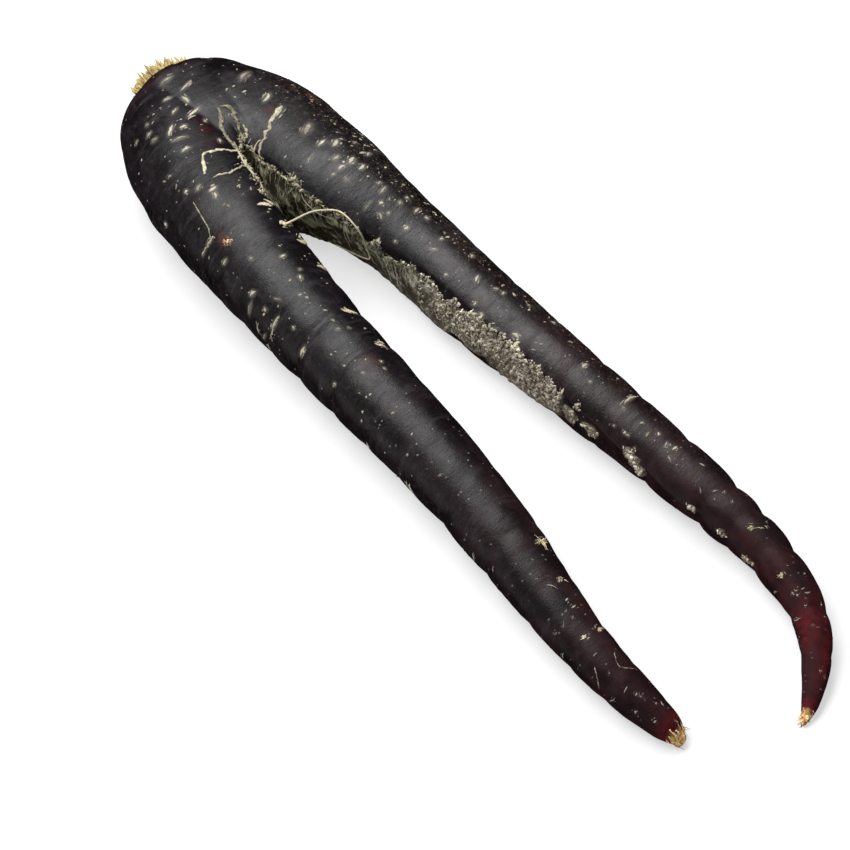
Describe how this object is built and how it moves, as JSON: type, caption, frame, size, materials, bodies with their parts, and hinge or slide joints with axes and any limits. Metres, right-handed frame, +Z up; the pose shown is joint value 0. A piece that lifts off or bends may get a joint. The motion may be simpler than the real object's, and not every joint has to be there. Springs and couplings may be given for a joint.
{
  "type": "black carrot",
  "caption": "Whole raw black carrot whose taproot split as it grew into two tapering legs, with cut leaf-stalk stubs in the crown. Lies flat.",
  "frame": {"origin": "under the middle of the whole carrot, on the surface that it lies on", "axes": "+X from the crown to the tips, +Y towards the long leg, +Z up from the surface that it lies on"},
  "size_m": [0.2359, 0.0609, 0.027],
  "materials": {
    "root_skin": "near-black violet skin, semi-matt, with pale corky marks",
    "leaf_stalk": "dry straw-coloured cut stalks, matt"
  },
  "bodies": {
    "root": {"carrot_root": "root_skin", "stalk_stub_1": "leaf_stalk", "stalk_stub_2": "leaf_stalk", "stalk_stub_3": "leaf_stalk", "stalk_stub_4": "leaf_stalk", "stalk_stub_5": "leaf_stalk", "stalk_stub_6": "leaf_stalk", "stalk_stub_7": "leaf_stalk"}
  },
  "joints": []
}
